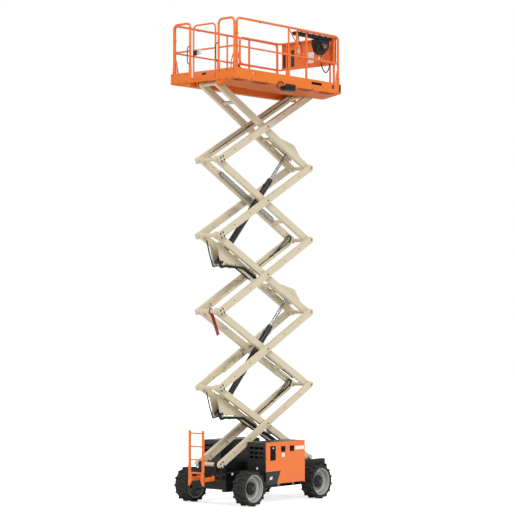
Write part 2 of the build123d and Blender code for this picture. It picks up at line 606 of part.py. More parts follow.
with BuildPart() as console:
    outer_y, inner_y = extension_rail_y - tube_radius - seat_gap, extension_rail_y - 135
    tray_low, tray_high = rail_top_z - 90, rail_top_z - 30
    block((overlap_x + 10, front_x - 135), (-outer_y, -inner_y), (tray_low, tray_high))
    block((overlap_x + 15, front_x - 140), (5 - outer_y, -inner_y - 5), (tray_low + 5, tray_high + 5), mode=Mode.SUBTRACT)
    front = Plane(origin=(0, 20 - outer_y, 0), x_dir=(1, 0, 0), z_dir=(0, -1, 0))
    box_low, box_high = front_x - 545, front_x - 185
    plate(front, [(box_low, tray_low), (box_low, tray_low - 90), (box_low + 70, tray_low - 240),
                  (box_low + 190, tray_low - 290), (box_high, tray_low - 130), (box_high, tray_low)], -170)
save(console, "console")
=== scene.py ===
# %% [markdown]
# # Rough-terrain scissor lift
# The machine is already modelled as exact solids, one body for each part that moves.
# This lesson dresses those solids: paint, rubber and steel that vary over their surface,
# and the bolts, hoses, latches and blank labels that are too small for the solid model.
# Everything is in metres. The ground is at zero height, x runs to the front of the machine,
# and its near side has negative y.

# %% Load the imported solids
from math import asin, cos, hypot, pi, radians, sin
import bpy
import bmesh
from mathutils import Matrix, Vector


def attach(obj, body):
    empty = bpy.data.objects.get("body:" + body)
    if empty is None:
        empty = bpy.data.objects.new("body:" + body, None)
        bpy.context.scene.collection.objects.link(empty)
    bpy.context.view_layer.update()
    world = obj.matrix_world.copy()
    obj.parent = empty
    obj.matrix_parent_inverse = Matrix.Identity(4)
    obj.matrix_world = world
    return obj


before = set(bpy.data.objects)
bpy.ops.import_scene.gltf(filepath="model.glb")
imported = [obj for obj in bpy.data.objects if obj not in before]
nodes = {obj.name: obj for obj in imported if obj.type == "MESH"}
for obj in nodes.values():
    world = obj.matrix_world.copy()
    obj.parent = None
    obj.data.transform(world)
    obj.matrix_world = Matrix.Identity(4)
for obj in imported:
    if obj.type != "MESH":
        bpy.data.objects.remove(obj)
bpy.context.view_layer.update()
NEAR, FAR = SIDES = (-1, 1)
STAGES = range(1, 6)
CORNERS = ((-1, -1), (1, -1), (1, 1), (-1, 1))

# %% [markdown]
# ## The camera
# A long lens far from the machine keeps its tall stack of arms nearly parallel.
# It stands a little above head height and looks up slightly, so the platform's underside shows.

# %% Camera
SENSOR, LENS = 36.0, 126.97
EYE_BACK, EYE_UP = 35.26, 3.4214
PITCH = radians(2.04)

scene = bpy.context.scene
heading = Vector((0.7657, 0.6432, 0.0)).normalized()
camera_data = bpy.data.cameras.new("camera")
camera_data.sensor_width = SENSOR
camera_data.lens = LENS
camera_data.clip_end = 300.0
camera = bpy.data.objects.new("camera", camera_data)
scene.collection.objects.link(camera)
look = heading * cos(PITCH) + Vector((0, 0, sin(PITCH)))
camera.location = -heading * EYE_BACK + Vector((0, 0, EYE_UP))
camera.rotation_euler = look.to_track_quat("-Z", "Y").to_euler()
scene.camera = camera
print("camera at", [round(v, 2) for v in camera.location])

# %% [markdown]
# ## Light and ground
# Even studio light lets the paint show its own colour. The sky gives most of it from all around.
# One broad sun from behind the camera's right shoulder lightens the upward faces,
# and a weak one from the left fills the rear. The ground is a plain pale sheet.

# %% Sky
WHITE = (1, 1, 1, 1)
SKY_STRENGTH, SKY_TINT = 0.62, (0.97, 0.985, 1.0, 1)


def even_light(tree, kind, colour, strength):
    """A background or emission node with one colour and strength."""
    made = tree.nodes.new(kind)
    made.inputs["Color"].default_value = colour
    made.inputs["Strength"].default_value = strength
    return made


def connect(tree, *pairs):
    for source, target in pairs:
        tree.links.new(source, target)


scene.view_settings.view_transform = "Standard"
scene.world = world = bpy.data.worlds.new("studio")
world.use_nodes = True
sky = world.node_tree
sky.nodes.clear()
seen = even_light(sky, "ShaderNodeBackground", WHITE, 1.0)
lighting = even_light(sky, "ShaderNodeBackground", SKY_TINT, SKY_STRENGTH)
rays = sky.nodes.new("ShaderNodeLightPath")
either = sky.nodes.new("ShaderNodeMath")
either.operation = "MAXIMUM"
shown = sky.nodes.new("ShaderNodeMixShader")
sky_out = sky.nodes.new("ShaderNodeOutputWorld")
connect(sky, (rays.outputs["Is Camera Ray"], either.inputs[0]),
        (rays.outputs["Is Transmission Ray"], either.inputs[1]),
        (either.outputs[0], shown.inputs[0]), (lighting.outputs[0], shown.inputs[1]),
        (seen.outputs[0], shown.inputs[2]), (shown.outputs[0], sky_out.inputs["Surface"]))
print("sky of strength", SKY_STRENGTH)

# %% Suns and ground
HIGH_SUN, SIDE_SUN = 1.72, 0.22
SUN_TARGET = Vector((0, 0, 4))
GROUND_REACH, GROUND_DROP = 60.0, 0.002


def sun(name, energy, location, angle, colour):
    data = bpy.data.lights.new(name, "SUN")
    data.energy, data.angle, data.color = energy, angle, colour
    light = bpy.data.objects.new(name, data)
    light.location = location
    light.rotation_euler = (SUN_TARGET - Vector(location)).to_track_quat("-Z", "Y").to_euler()
    scene.collection.objects.link(light)


sun("sun_high", HIGH_SUN, (-9, -16, 24), 0.35, (1.0, 0.985, 0.95))
sun("sun_side", SIDE_SUN, (-20, 5, 9), 0.6, (0.95, 0.97, 1.0))

ground_mesh = bpy.data.meshes.new("ground")
square = [(x * GROUND_REACH, y * GROUND_REACH, 0) for x, y in CORNERS]
ground_mesh.from_pydata(square, [], [(0, 1, 2, 3)])
ground = bpy.data.objects.new("ground", ground_mesh)
ground.location.z = -GROUND_DROP
scene.collection.objects.link(ground)
print("lights: sky and two suns")

# %% [markdown]
# ## Shader expressions
# A small class wraps one output of a node. Adding or multiplying two of them makes the Math node
# that does it, so a finish reads like a sum. `node` makes any other kind of node.

# %% Values that write their own nodes
class Value:
    def __init__(self, tree, socket):
        self.tree, self.socket = tree, socket

    def math(self, operation, other, flip=False):
        made = self.tree.nodes.new("ShaderNodeMath")
        made.operation = operation
        for index, item in enumerate((other, self) if flip else (self, other)):
            if isinstance(item, Value):
                self.tree.links.new(item.socket, made.inputs[index])
            else:
                made.inputs[index].default_value = item
        return Value(self.tree, made.outputs[0])

    def __add__(self, other):
        return self.math("ADD", other)

    def __mul__(self, other):
        return self.math("MULTIPLY", other)

    def __sub__(self, other):
        return self.math("SUBTRACT", other)

    def __rsub__(self, other):
        return self.math("SUBTRACT", other, flip=True)

    def __gt__(self, other):
        return self.math("GREATER_THAN", other)

    __radd__, __rmul__ = __add__, __mul__

    def limited(self):
        """Keeps the result of its Math node between 0 and 1."""
        self.socket.node.use_clamp = True
        return self


# %% One finish, and the nodes that it is made of
NODE_COLOUR = 2
NODE_FACTOR = 1


class Finish:
    """One material with its Principled shader, and a maker for any other node."""

    def __init__(self, name, **constants):
        self.material = bpy.data.materials.new(name)
        self.material.use_nodes = True
        self.tree = self.material.node_tree
        self.shader = self.tree.nodes["Principled BSDF"]
        for key, value in constants.items():
            self.shader.inputs[key.replace("_", " ")].default_value = value

    def node(self, kind, settings=None, out=0, **sockets):
        """Makes a node. Its inputs are given by name, or by number as i0, i1 and so on."""
        made = self.tree.nodes.new(kind)
        for key, value in (settings or {}).items():
            setattr(made, key, value)
        for key, value in sockets.items():
            numbered = key[0] == "i" and key[1:].isdigit()
            socket = made.inputs[int(key[1:]) if numbered else key.replace("_", " ")]
            if isinstance(value, Value):
                self.tree.links.new(value.socket, socket)
            else:
                socket.default_value = value
        return Value(self.tree, made.outputs[out])

    def place(self, scale=(1, 1, 1)):
        coordinates = self.node("ShaderNodeTexCoord", out="Object")
        return self.node("ShaderNodeMapping", Vector=coordinates, Scale=scale)

    def noise(self, scale, detail=3.0, roughness=0.55):
        return self.node("ShaderNodeTexNoise", Vector=self.place(), Scale=scale, Detail=detail,
                         Roughness=roughness)

    def blend(self, mask, low, high):
        return self.node("ShaderNodeMix", {"data_type": "RGBA"}, out=NODE_COLOUR,
                         i0=mask, i6=low, i7=high)

    def upward(self, kind, out):
        """How high a place is, or how far a direction points up."""
        return self.node("ShaderNodeSeparateXYZ", Vector=self.node(kind, out=out), out="Z")

    def bump(self, height, strength, distance):
        normal = self.node("ShaderNodeBump", Height=height, Strength=strength, Distance=distance)
        self.feed("Normal", normal)

    def feed(self, name, value):
        self.tree.links.new(value.socket, self.shader.inputs[name])


def shade(code):
    """A screen colour, such as dacdb1, as linear light."""
    parts = [int(code[i:i + 2], 16) / 255 for i in (0, 2, 4)]
    light = [c / 12.92 if c <= 0.04045 else ((c + 0.055) / 1.055) ** 2.4 for c in parts]
    return (*light, 1.0)


print("cream as light:", [round(v, 3) for v in shade("dacdb1")])

# %% [markdown]
# ## Enamels
# Sprayed enamel is never one flat colour. It clouds slightly over a metre, has a very fine ripple,
# and gathers dust in faint patches and near the ground. All scales are features per metre.

# %% Enamel paints
CLOUDS, GRIME, SHEEN, RIPPLE = 1.7, 9.0, 35.0, 420.0
GRIME_START, GRIME_GAIN = 0.42, 4.0
DUST_FADE = 1.6


def enamel(name, colour, cloud, dust="b9ab92", dust_amount=0.1, rough=0.38, low_dust=0.0,
           coat=0.25, gloss=0.5):
    """A paint that drifts between two colours, with dust over it."""
    paint = Finish(name, Coat_Weight=coat, Coat_Roughness=0.12, Specular_IOR_Level=gloss)
    base = paint.blend(paint.noise(CLOUDS, 4.0), shade(colour), shade(cloud))
    grime = paint.noise(GRIME, 5.0, 0.65)
    dusty = (grime - GRIME_START).limited() * dust_amount * GRIME_GAIN
    if low_dust:
        height = paint.upward("ShaderNodeTexCoord", "Object")
        near_ground = (1.0 - height * DUST_FADE).limited()
        dusty = dusty + near_ground * grime * low_dust
    dusty = dusty.limited()
    paint.feed("Base Color", paint.blend(dusty, base, shade(dust)))
    paint.feed("Roughness", (paint.noise(SHEEN) * 0.16 + dusty * 0.3 + (rough - 0.08)).limited())
    paint.bump(paint.noise(RIPPLE, 2.0), strength=0.04, distance=0.0004)
    return paint.material


cream = enamel("cream_enamel", "dacdb1", "d2c5a8", dust_amount=0.02)
orange = enamel("orange_enamel", "f27c31", "ec7227", "c88a5c", 0.04, coat=0.08)
# A darker orange that is painted shade in the skirt's pockets.
orange_shadow = enamel("orange_pocket_painted_shade", "a8431a", "963b15", dust_amount=0.02, rough=0.6, coat=0.0,
                       gloss=0.1)
chassis_black = enamel("chassis_enamel", "131313", "0f0f0f", "37332d", 0.03, rough=0.45,
                       low_dust=0.06, coat=0.08, gloss=0.3)
hood_black = enamel("hood_enamel", "1f1f1f", "191919", "4e4a42", 0.03, coat=0.15)
barrel_black = enamel("barrel_enamel", "141414", "101010", dust_amount=0.01, rough=0.28, coat=0.6)
deep_black = enamel("deep_black_enamel", "0e0e0e", "0b0b0b", dust_amount=0.0, rough=0.5, coat=0.0,
                    gloss=0.15)
silver = enamel("silver_enamel", "bcbcba", "adadab", "8f8a80", 0.08, low_dust=0.2)
# A darker silver for the wheel dish: painted shade in the dish.
dish_shade_silver = enamel("rim_dish_painted_shade", "8b8b8a", "7d7d7c", "6f6a61", 0.08, low_dust=0.2, coat=0.0)
red = enamel("red_enamel", "a81c26", "93161f", dust_amount=0.03)
white = enamel("white_label", "f0f0ee", "e6e6e4", dust_amount=0.02, coat=0.0)
yellow = enamel("yellow_label", "e9bb25", "ddb020", dust_amount=0.02, coat=0.0)
print("enamels made")

# %% [markdown]
# ## Rubber, plastic and steel
# Tyre rubber is dull and greyed by dirt. Hoses and moulded parts are near black with a fine grain.
# Galvanised sheet shows pale crystals. The cylinder rods are hard chrome, bright but not a mirror.

# %% Rubber and plastic
tyre_finish = Finish("tyre_rubber")
dirt = tyre_finish.noise(14.0, 6.0, 0.7)
tyre_finish.feed("Base Color", tyre_finish.blend((dirt - 0.35).limited(), shade("1c1c1c"),
                                                 shade("433f39")))
tyre_finish.feed("Roughness", dirt * 0.2 + 0.68)
tyre_finish.bump(tyre_finish.noise(160.0, 4.0), 0.35, 0.0012)
rubber = tyre_finish.material


def moulded(name, colour, cloud, clouds, sheen, swing, rough, grain, strength):
    """A near black rubber or plastic. clouds, sheen and grain are its scales."""
    finish = Finish(name)
    finish.feed("Base Color", finish.blend(finish.noise(clouds), shade(colour), shade(cloud)))
    finish.feed("Roughness", finish.noise(sheen) * swing + rough)
    finish.bump(finish.noise(grain, 2.0), strength, 0.0004)
    return finish.material


hose_black = moulded("hose_rubber", "141415", "212122", 25.0, 60.0, 0.2, 0.45, 700.0, 0.2)
plastic = moulded("moulded_black", "121213", "1b1b1c", 6.0, 80.0, 0.15, 0.46, 900.0, 0.3)
print("rubber, hose and plastic made")

# %% Bare metals
def bare_metal(name, light, dark, rough, crystal_scale, strength=0.15):
    """Bare metal, mottled by crystals and by wider blotches."""
    metal = Finish(name, Metallic=1.0)
    crystals = metal.node("ShaderNodeTexVoronoi", Vector=metal.place(), Scale=crystal_scale)
    blotch = metal.noise(7.0, 4.0)
    mottle = (crystals * 0.5 + blotch * 0.5).limited()
    metal.feed("Base Color", metal.blend(mottle, shade(dark), shade(light)))
    metal.feed("Roughness", (blotch * 0.25 + (rough - 0.1)).limited())
    metal.bump(metal.noise(300.0), strength, 0.0004)
    return metal.material


galvanised = bare_metal("galvanised_sheet", "d8d8d4", "b4b4b0", 0.42, 60.0)
zinc = bare_metal("zinc_bolts", "d0cdc4", "a8a498", 0.34, 220.0)
chrome = bare_metal("chrome_rod", "c2c3c6", "b4b5b9", 0.24, 8.0, strength=0.0)
dark_steel = bare_metal("phosphated_steel", "6d6b68", "4a4846", 0.45, 90.0)
print("metals made")

# %% [markdown]
# ## Deck plate
# The deck's top is pressed tread plate. A checker picks, square by square, between two sets
# of bars that lean opposite ways. The faces that look down get painted shade, a deeper orange.

# %% Tread plate
SQUARES, BARS = 18, 26.0
FLAT = 0.9


def tread_plate(name, colour, cloud):
    plate = Finish(name, Specular_IOR_Level=0.12)
    base = plate.blend(plate.noise(2.0, 4.0), shade(colour), shade(cloud))
    square = plate.node("ShaderNodeTexChecker", Vector=plate.place((SQUARES, SQUARES, 1)),
                        Scale=1.0, out=NODE_FACTOR)
    bars, other_bars = (
        plate.node("ShaderNodeTexWave", {"wave_type": "BANDS", "bands_direction": "DIAGONAL"},
                   Vector=plate.place((way, 1, 0)), Scale=BARS, out=NODE_FACTOR) for way in (1, -1))
    pattern = (square * bars + (1.0 - square) * other_bars).limited()
    facing = plate.upward("ShaderNodeNewGeometry", "Normal")
    top = facing > FLAT
    # Faces that look down are blended towards a34a17 below: painted shade on the underside.
    under = (0.0 - facing) > FLAT
    worn = plate.blend(pattern * top * 0.25, base, shade("8c877d"))
    plate.feed("Base Color", plate.blend(under * 0.45, worn, shade("a34a17")))
    plate.feed("Roughness", plate.noise(30.0) * 0.2 + 0.38)
    plate.bump(pattern * top, 0.7, 0.002)
    return plate.material


deck_paint = tread_plate("deck_plate", "ef8036", "e6762b")
print("deck plate made")

# %% [markdown]
# ## Ground finish
# Where the camera looks straight at the ground, the sheet adds a plain glow of its own,
# so it reads as white and still takes a soft shadow. To the lights it is only a pale sheet.

# %% Ground finish
GROUND_GLOW = 0.72

sheet = Finish("ground_sheet", Roughness=0.95)
sheet.feed("Base Color", sheet.blend(sheet.noise(0.4), shade("f4f4f3"), shade("f1f1f0")))
ground.data.materials.append(sheet.material)
glow = even_light(sheet.tree, "ShaderNodeEmission", WHITE, GROUND_GLOW)
both, camera_only, light_path = (sheet.tree.nodes.new(kind) for kind in (
    "ShaderNodeAddShader", "ShaderNodeMixShader", "ShaderNodeLightPath"))
paint, surface = sheet.shader.outputs[0], sheet.tree.nodes["Material Output"].inputs["Surface"]
connect(sheet.tree, (light_path.outputs["Is Camera Ray"], camera_only.inputs[0]),
        (paint, camera_only.inputs[1]), (paint, both.inputs[0]), (glow.outputs[0], both.inputs[1]),
        (both.outputs[0], camera_only.inputs[2]), (camera_only.outputs[0], surface))
print("ground finished")

# %% [markdown]
# ## Paint the solids
# Solids whose shape is right only need their finish, a softened edge that catches the light,
# and smooth shading on their round parts.

# %% Finishes for the solids
def soften(piece, width):
    """Rounds the sharp edges of a piece by a width, in two steps."""
    bevel = piece.modifiers.new("soft_edges", "BEVEL")
    bevel.width, bevel.segments, bevel.limit_method = width, 2, "ANGLE"
    return bevel


def dress(node, material, edge=0.002, angle=35):
    solid = nodes[node]
    solid.data.materials.clear()
    solid.data.materials.append(material)
    for face in solid.data.polygons:
        face.material_index = 0
    solid.data.shade_smooth()
    solid.data.set_sharp_from_angle(angle=radians(angle))
    if edge:
        bevel = soften(solid, edge)
        bevel.angle_limit = radians(40)
        bevel.harden_normals = True


for stage in STAGES:
    dress(f"outer_arms_{stage}", cream, edge=0.005)
    dress(f"inner_frame_{stage}", cream, edge=0.004)
    dress(f"cable_tray_{stage}", galvanised if stage == 4 else cream, edge=0)
FINISHES = (
    (chassis_black, 0.003, "chassis_frame axle_rear axle_front"),
    (chassis_black, 0.002, "knuckle_near knuckle_far"),
    (hood_black, 0.003, "hoods"),
    (dark_steel, 0.003, "power_unit tank"),
    (orange, 0.004, "door_near door_far"),
    (orange, 0.002, "ladder"),
    (orange, 0, "platform_rails gate extension_rails front_panel"),
    (deck_paint, 0.002, "platform_deck"),
    (deck_paint, 0.001, "extension_deck"),
    (plastic, 0.003, "console"),
    (red, 0.001, "safety_prop"),
    (barrel_black, 0.001, "barrel_lower barrel_upper"),
    (chrome, 0, "rod_lower rod_upper"),
)
for finish, edge, names in FINISHES:
    for name in names.split():
        dress(name, finish, edge)
AXLES = (("rear", -1.11), ("front", 0.914))
WHEELS = [(f"{end}_{where}", x, side) for end, x in AXLES
          for where, side in (("near", NEAR), ("far", FAR))]
for corner, _, _ in WHEELS:
    dress(f"tyre_{corner}", rubber, edge=0.003, angle=30)
    dress(f"rim_{corner}", silver, edge=0.002, angle=25)
print("solids painted")

# %% [markdown]
# ## A builder for small hard parts
# Bolts, straps, hoses and labels are each a few faces. `Shape` gathers many of them into one mesh,
# so that all bolts of an arm are one piece that rides on that arm.

# %% Small parts gathered into one mesh
def circle(centre, u, v, radius, sides):
    turns = [2 * pi * k / sides for k in range(sides)]
    return [centre + (u * cos(t) + v * sin(t)) * radius for t in turns]


def square_to(axis):
    """Two directions square to an axis and to each other."""
    u = axis.orthogonal().normalized()
    return u, axis.cross(u)


class Shape:
    def __init__(self, name, body, slot, material, edge=0.0):
        self.name, self.body, self.slot_name = name, body, slot
        self.material, self.edge = material, edge
        self.mesh = bmesh.new()

    def faces(self, points, loops):
        made = [self.mesh.verts.new(point) for point in points]
        for loop in loops:
            self.mesh.faces.new([made[i] for i in loop])

    def skin(self, rings):
        """Joins rings of points one after another, and closes both ends."""
        sides, last = len(rings[0]), (len(rings) - 1) * len(rings[0])
        loops = [tuple(reversed(range(sides))), tuple(range(last, last + sides))]
        for start in range(0, last, sides):
            loops += [(start + k, start + (k + 1) % sides, start + (k + 1) % sides + sides,
                       start + k + sides) for k in range(sides)]
        self.faces([point for ring in rings for point in ring], loops)

    def prism(self, outline, origin, u, v, depth):
        """Thickens an outline, given along u and v from the origin, along their cross product."""
        origin, u, v = Vector(origin), Vector(u).normalized(), Vector(v).normalized()
        near = [origin + u * a + v * b for a, b in outline]
        self.skin([near, [point + u.cross(v) * depth for point in near]])

    def bar(self, at, u, v, half, thick, depth):
        """A flat bar that reaches half along u to both sides of a point, and stands up along v."""
        self.prism([(-half, 0), (half, 0), (half, thick), (-half, thick)], at, u, v, depth)

    def box(self, low, high):
        x, y, z = (b - a for a, b in zip(low, high))
        self.prism([(0, 0), (x, 0), (x, y), (0, y)], low, (1, 0, 0), (0, 1, 0), z)

    def disc(self, centre, axis, radius, depth, sides=20, inner=None):
        """A round slab from the centre along the axis. inner is the radius of its far end."""
        centre, axis = Vector(centre), Vector(axis).normalized()
        u, v = square_to(axis)
        steps = ((0, radius), (depth * 0.75, radius), (depth, inner or radius * 0.93))
        self.skin([circle(centre + axis * at, u, v, size, sides) for at, size in steps])

    def turned(self, centre, axis, profile, sides=48):
        """A ring: a closed profile of (radius, reach along the axis), turned about it."""
        centre, axis = Vector(centre), Vector(axis).normalized()
        u, v = square_to(axis)
        points = []
        for t in (2 * pi * k / sides for k in range(sides)):
            out = u * cos(t) + v * sin(t)
            points += [centre + axis * reach + out * radius for radius, reach in profile]
        count = len(profile)
        self.faces(points, [
            (k * count + i, k * count + (i + 1) % count,
             (k + 1) % sides * count + (i + 1) % count, (k + 1) % sides * count + i)
            for k in range(sides) for i in range(count)])

    def bolt(self, at, axis, size=0.011, height=0.007):
        """A washer with a six-sided head on it."""
        at, axis = Vector(at), Vector(axis).normalized()
        self.disc(at, axis, size * 1.35, height * 0.3, sides=12)
        self.disc(at + axis * height * 0.3, axis, size, height * 0.7, sides=6)

    def tube(self, points, radius, sides=8):
        """A round rod or hose along a path, closed at both ends."""
        points = [Vector(point) for point in points]
        last = len(points) - 1
        u = (points[1] - points[0]).normalized().orthogonal().normalized()
        rings = []
        for i, point in enumerate(points):
            ahead = (points[min(i + 1, last)] - points[max(i - 1, 0)]).normalized()
            u = (u - ahead * u.dot(ahead)).normalized()
            rings.append(circle(point, u, ahead.cross(u), radius, sides))
        self.skin(rings)

    def done(self, angle=35):
        bmesh.ops.recalc_face_normals(self.mesh, faces=self.mesh.faces)
        data = bpy.data.meshes.new(self.name)
        self.mesh.to_mesh(data)
        self.mesh.free()
        data.materials.append(self.material)
        data.shade_smooth()
        data.set_sharp_from_angle(angle=radians(angle))
        piece = bpy.data.objects.new(self.name, data)
        scene.collection.objects.link(piece)
        if self.edge:
            soften(piece, self.edge)
        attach(piece, self.body)


def boxes(name, body, slot, material, edge, *corners):
    """A piece of boxes only, each given by its low and its high corner."""
    piece = Shape(name, body, slot, material, edge)
    for low, high in corners:
        piece.box(low, high)
    piece.done()


print("parts builder ready")

# %% Slots and the materials that fill them
HOSE = ("black_plastic", hose_black)
MOULDED = ("black_plastic", plastic)
RECESS = ("black_plastic", deep_black)
DARK_PAINT = ("dark_steel", hood_black)
STEEL = ("dark_steel", dark_steel)
ORANGE = ("orange_paint", orange)
LABEL = ("silver_paint", white)
UPRIGHT = ((1, 0, 0), (0, 0, 1))
print("slots named")

# %% Smooth and rounded paths
def curve(points, steps=6):
    """Points of a smooth path through the given ones."""
    points = [Vector(point) for point in points]
    points = [points[0] * 2 - points[1]] + points + [points[-1] * 2 - points[-2]]
    path = []
    for a, b, c, d in zip(points, points[1:], points[2:], points[3:]):
        for t in (step / steps for step in range(steps)):
            path.append((b * 2 + (c - a) * t + (a * 2 - b * 5 + c * 4 - d) * t ** 2
                         + (b * 3 - a - c * 3 + d) * t ** 3) * 0.5)
    return path + [points[-2]]


def rounded(points, corner, steps=5):
    """Points of a path of straight runs whose corners are rounded off."""
    points = [Vector(point) for point in points]
    path = [points[0]]
    for before, at, after in zip(points, points[1:], points[2:]):
        start = at + (before - at).normalized() * corner
        end = at + (after - at).normalized() * corner
        for t in (step / steps for step in range(steps + 1)):
            path.append(start * (1 - t) ** 2 + at * 2 * t * (1 - t) + end * t ** 2)
    return path + [points[-1]]


print("paths ready")

# %% [markdown]
# ## Along the arms
# Every arm has its own frame: distance along it from its rear pin, height square to it,
# and distance across the machine. Bolts, straps and hoses are placed in that frame.

# %% Arm frames
ARM, RISE = 3.05, 1.432
REAR_PIN = (-1.395, 0.76)
CENTRE = ARM / 2
OUTER, INNER = 1, -1
FOOT_EYE = (0.45, -0.325)
HEAD_EYE = (ARM - 0.445, 0.183)
lean = asin(RISE / ARM)


def on_arm(stage, slope, along, across, up=0.0):
    """A point of an arm. An OUTER arm rises to the front, and an INNER one falls to the front."""
    base = REAR_PIN[1] + (stage - (1 if slope > 0 else 0)) * RISE
    return Vector((REAR_PIN[0] + along * cos(lean) - up * slope * sin(lean), across,
                   base + along * slope * sin(lean) + up * cos(lean)))


def arm_axes(slope):
    along = Vector((cos(lean), 0, slope * sin(lean)))
    return along, Vector((-along.z, 0, along.x))


print("top pins at height", round(on_arm(5, OUTER, ARM, 0).z, 2))

# %% [markdown]
# ## Pin plates and bolts
# The rear pins end in a plate with four bolts. The other pins end in a cap with one bolt.
# A row of button heads along each arm holds the wear strips and hose straps inside it.

# %% Pin plates and arm bolts
PIN_FACE, PLATE_FACE = 0.313, 0.3165
ARM_OUTSIDE, ARM_INSIDE = 0.305, 0.235
FRAME_INSIDE, BRACKET_FACE = 0.155, 0.1
PLATE_BOLT = 0.036


def plate_outline(reach=0.061, corner=0.008, count=16):
    """A round plate that reaches a little further out at its four bolts."""
    points = []
    for k in range(count):
        turn = 2 * pi / count * k
        size = reach + corner * (k % 4 == 2)
        points.append((cos(turn) * size, sin(turn) * size))
    return points


along, up = arm_axes(OUTER)
for stage in STAGES:
    plates = Shape(f"pin_plates_{stage}", f"outer_{stage}", "cream_paint", cream, edge=0.0015)
    heads = Shape(f"arm_bolts_{stage}", f"outer_{stage}", *DARK_PAINT)
    for side in SIDES:
        out = Vector((0, side, 0))
        plates.prism(plate_outline(), on_arm(stage, OUTER, 0, side * PIN_FACE), along, up,
                     side * -0.004)
        for a, b in CORNERS:
            at = on_arm(stage, OUTER, a * PLATE_BOLT, side * PLATE_FACE, b * PLATE_BOLT)
            heads.bolt(at, out, 0.0155, 0.008)
        for at in (CENTRE, ARM):
            heads.bolt(on_arm(stage, OUTER, at, side * PIN_FACE), out, 0.014, 0.008)
        for at in (0.42, 0.93, 2.1, 2.62):
            heads.bolt(on_arm(stage, OUTER, at, side * ARM_OUTSIDE, 0.012), out, 0.009, 0.005)
            heads.bolt(on_arm(stage, OUTER, at, side * ARM_INSIDE, -0.02), -out, 0.009, 0.004)
    plates.done()
    heads.done()
for stage in STAGES:
    heads = Shape(f"inner_bolts_{stage}", f"inner_{stage}", *DARK_PAINT)
    for side in SIDES:
        out = Vector((0, side, 0))
        for at in (0.3, 0.72, 2.05, 2.46, 2.8):
            heads.bolt(on_arm(stage, INNER, at, side * FRAME_INSIDE, 0.02), -out, 0.009, 0.004)
        if stage in (1, 3):
            for at, drop in ((0.56, -0.3), (0.8, -0.19), (1.2, -0.085)):
                heads.bolt(on_arm(stage, INNER, at, side * BRACKET_FACE, drop), out, 0.01, 0.005)
            eye = on_arm(stage, INNER, FOOT_EYE[0], side * BRACKET_FACE, FOOT_EYE[1])
            heads.bolt(eye, out, 0.022, 0.006)
        if stage in (3, 5):
            for at in (ARM - 0.84, ARM - 0.6, ARM - 0.28):
                heads.bolt(on_arm(stage, INNER, at, side * BRACKET_FACE, 0.085), out, 0.01, 0.005)
    heads.done()
print("pin plates and bolts placed")

# %% [markdown]
# ## Washers at the pins
# Black plastic washers keep the two arms of a stage apart where they cross, and at the
# front pins above the first stage, so that paint never rubs on paint.

# %% Washers at the pins
WASHER_FACE = 0.2255

for stage in STAGES:
    pads = Shape(f"wear_pads_{stage}", f"inner_{stage}", *MOULDED)
    for side in SIDES:
        for at in (CENTRE, ARM) if stage > 1 else (CENTRE,):
            middle = on_arm(stage, INNER, at, side * WASHER_FACE)
            pads.disc(middle, (0, side, 0), 0.058, 0.0085, sides=28)
    pads.done()
print("washers placed")

# %% [markdown]
# ## Hoses in the trays
# One or two hoses lie in each tray, under straps. A tray's row says which arm it is on,
# where it starts and ends, where its hoses start, and how many hoses it holds.

# %% Hoses in the trays
TRAYS = ((1, OUTER, 0.15, 2.9, 1.4, 2), (2, OUTER, 0.62, 2.2, 1.5, 1),
         (3, OUTER, 0.15, 2.9, 1.35, 1), (4, INNER, 0.5, 2.26, 0.5, 1),
         (5, OUTER, 0.15, 2.85, 0.3, 1))
TRAY_LANES = ((0.121, 0.047, 0.008), (0.133, 0.049, 0.009))
STRAPS, STRAP_INSET, STRAP_HALF = 6, 0.06, 0.012
RUNS, OVERHANG = 8, 0.02

for stage, slope, start, end, hose_start, lanes in TRAYS:
    body = f"outer_{stage}" if slope > 0 else f"inner_{stage}"
    along, up = arm_axes(slope)
    hoses = Shape(f"tray_hoses_{stage}", body, *HOSE)
    for across, height, radius in TRAY_LANES[:lanes]:
        reach = end - hose_start + 2 * OVERHANG
        hoses.tube(curve([on_arm(stage, slope, hose_start - OVERHANG + reach * k / RUNS, across,
                                 height + 0.004 * (k % 2)) for k in range(RUNS + 1)], 3), radius)
    hoses.done()
    straps = Shape(f"tray_straps_{stage}", body, "tray_steel", zinc)
    for k in range(STRAPS):
        at = start + STRAP_INSET + (end - start - 2 * STRAP_INSET) * k / (STRAPS - 1)
        straps.bar(on_arm(stage, slope, at, 0.149, 0.06), along, up, STRAP_HALF, 0.003, 0.039)
        straps.bar(on_arm(stage, slope, at, 0.1115, 0.018), along, up, STRAP_HALF, 0.045, 0.0015)
        straps.bolt(on_arm(stage, slope, at, 0.112, 0.002), (0, -1, 0), 0.009, 0.005)
    straps.done()
print("tray hoses placed")

# %% [markdown]
# ## Hose loops
# On stages 1 and 3 two hoses run in clamps along the far arm and loop over near its front pin.
# Two more lie along the inner frame of stage 2. Every hose stays on the arm that carries it.

